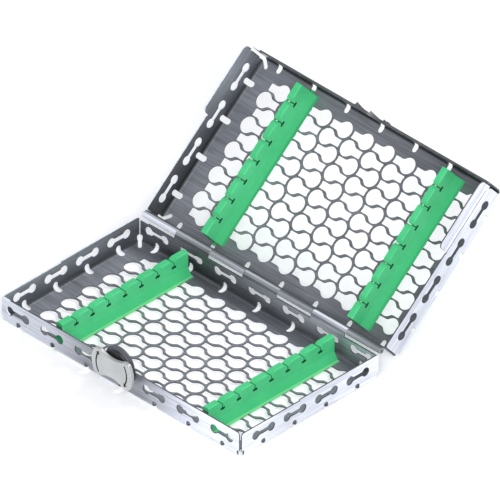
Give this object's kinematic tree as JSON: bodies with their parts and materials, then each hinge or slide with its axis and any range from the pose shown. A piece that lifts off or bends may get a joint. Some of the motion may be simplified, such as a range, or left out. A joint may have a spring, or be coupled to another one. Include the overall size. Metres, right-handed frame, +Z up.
{
  "type": "instrument cassette",
  "caption": "Perforated two-tray cassette for dental instruments, hinged along one long side, with soft notched rails in both trays and a quarter-turn latch",
  "frame": {"origin": "middle of the open cassette's bounding box, on the plane its base rails' pads stand on", "axes": "+X to the right along the latch wall seen from the front, +Y from the latch towards the hinge, +Z up"},
  "size_m": [0.2038, 0.2304, 0.1],
  "materials": {
    "sheet": "stainless sheet with a fine straight grain",
    "pin": "drawn stainless rod",
    "silicone": "soft green silicone, satin",
    "plate": "light grey satin",
    "rotor": "near-black moulded plastic"
  },
  "bodies": {
    "base": {"base_tray": "sheet", "hinge_pin": "pin", "rail_base_left": "silicone", "rail_base_right": "silicone", "latch_rivet": "pin"},
    "lid": {"lid_tray": "sheet", "rail_lid_left": "silicone", "rail_lid_right": "silicone", "lid_catch": "sheet"},
    "latch": {"latch_plate": "plate", "latch_rotor": "rotor"}
  },
  "joints": [
    {"name": "lid_hinge", "type": "hinge", "parent": "base", "child": "lid", "pos_m": [0, 0.01271, 0.0192], "axis": [1, 0, 0], "range_deg": [-40.4, 139.6]},
    {"name": "latch_turn", "type": "hinge", "parent": "base", "child": "latch", "pos_m": [-0.00065, -0.11079, 0.0192], "axis": [0, 1, 0], "range_deg": [0, 90]}
  ]
}
